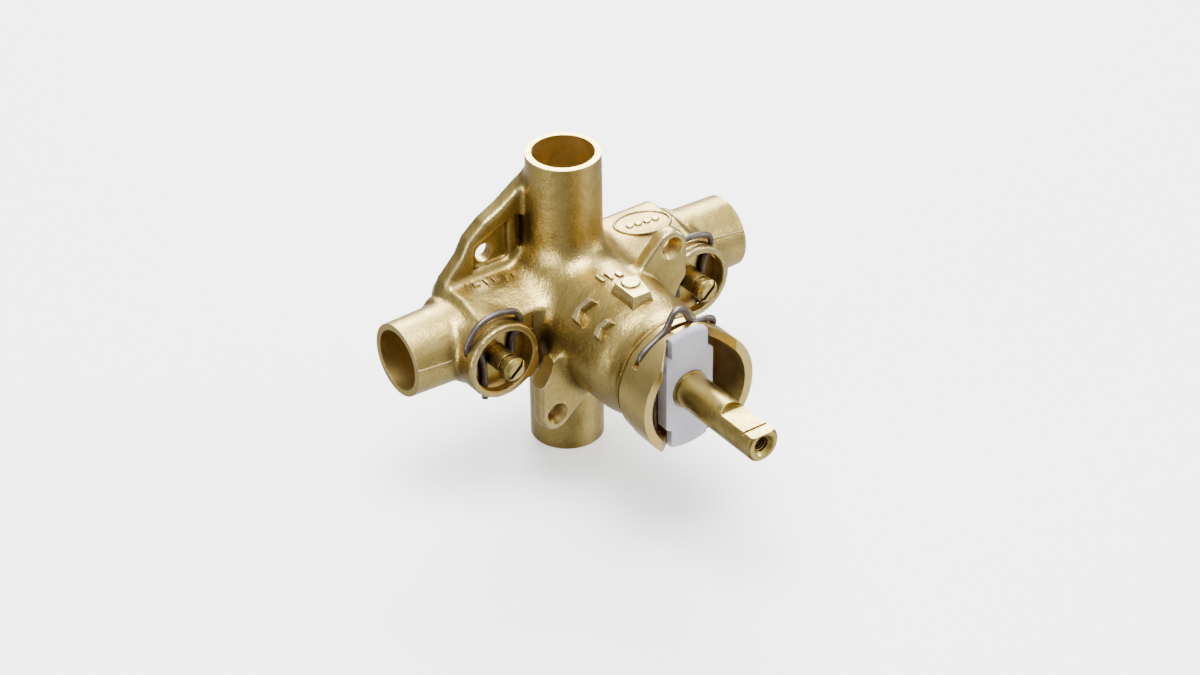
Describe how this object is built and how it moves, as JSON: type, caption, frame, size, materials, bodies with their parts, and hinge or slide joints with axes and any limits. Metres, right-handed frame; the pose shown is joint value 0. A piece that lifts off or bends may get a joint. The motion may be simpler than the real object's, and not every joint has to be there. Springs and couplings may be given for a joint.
{
  "type": "shower valve",
  "caption": "Cast brass rough-in shower valve: solder sockets in a cross, a pressure balancing cartridge with a long turning stem held by a spring clip, and a screwdriver stop in each inlet",
  "frame": {"origin": "where the axes of the four pipe sockets cross, on the cartridge axis", "axes": "+Z to the shower outlet, -Z to the tub outlet, -X to the hot inlet, +X to the cold inlet, -Y along the stem out of the wall"},
  "size_m": [0.1022, 0.0952, 0.0846],
  "materials": {
    "cast_brass": "sand cast, unpolished, machined at the bores",
    "turned_brass": "turned",
    "grey_plastic": "moulded",
    "spring_wire": "drawn spring wire, dark",
    "spool_steel": "ground",
    "seal_rubber": "moulded"
  },
  "bodies": {
    "body": {"valve_body": "cast_brass", "cartridge_shell": "grey_plastic", "cartridge_cap": "grey_plastic", "cartridge_clip": "spring_wire", "stem_o_ring": "seal_rubber", "front_shell_o_ring": "seal_rubber", "rear_shell_o_ring": "seal_rubber", "hot_inlet_seal": "seal_rubber", "cold_inlet_seal": "seal_rubber", "hot_stop_clip": "spring_wire", "cold_stop_clip": "spring_wire", "hot_stop_bonnet": "turned_brass", "cold_stop_bonnet": "turned_brass", "hot_bonnet_o_ring": "seal_rubber", "cold_bonnet_o_ring": "seal_rubber", "hot_stop_stem_o_ring": "seal_rubber", "cold_stop_stem_o_ring": "seal_rubber"},
    "stem": {"cartridge_stem": "turned_brass", "spool_plug": "turned_brass"},
    "spool": {"balance_spool": "spool_steel"},
    "hot_washer": {"hot_washer_holder": "turned_brass", "hot_stop_washer": "seal_rubber"},
    "cold_washer": {"cold_washer_holder": "turned_brass", "cold_stop_washer": "seal_rubber"},
    "hot_screw": {"hot_stop_stem": "turned_brass"},
    "cold_screw": {"cold_stop_stem": "turned_brass"}
  },
  "joints": [
    {"name": "stem_turn", "type": "hinge", "parent": "body", "child": "stem", "pos_m": [0, 0, 0], "axis": [0, -1, 0], "range_deg": [0, 270]},
    {"name": "spool_slide", "type": "slide", "parent": "stem", "child": "spool", "axis": [0, 1, 0], "range_m": [-0.002, 0.002]},
    {"name": "hot_stop_travel", "type": "slide", "parent": "body", "child": "hot_washer", "axis": [0, 1, 0], "range_m": [0, 0.0039]},
    {"name": "cold_stop_travel", "type": "slide", "parent": "body", "child": "cold_washer", "axis": [0, 1, 0], "range_m": [0, 0.0039]},
    {"name": "hot_stop_turn", "type": "hinge", "parent": "hot_washer", "child": "hot_screw", "pos_m": [-0.0299, 0, 0], "axis": [0, 1, 0], "range_deg": [0, 1124]},
    {"name": "cold_stop_turn", "type": "hinge", "parent": "cold_washer", "child": "cold_screw", "pos_m": [0.0299, 0, 0], "axis": [0, 1, 0], "range_deg": [0, 1124]}
  ],
  "couplings": [
    {"joint": "hot_stop_turn", "follows": "hot_stop_travel", "rad_per_m": 5026.5},
    {"joint": "cold_stop_turn", "follows": "cold_stop_travel", "rad_per_m": 5026.5}
  ]
}
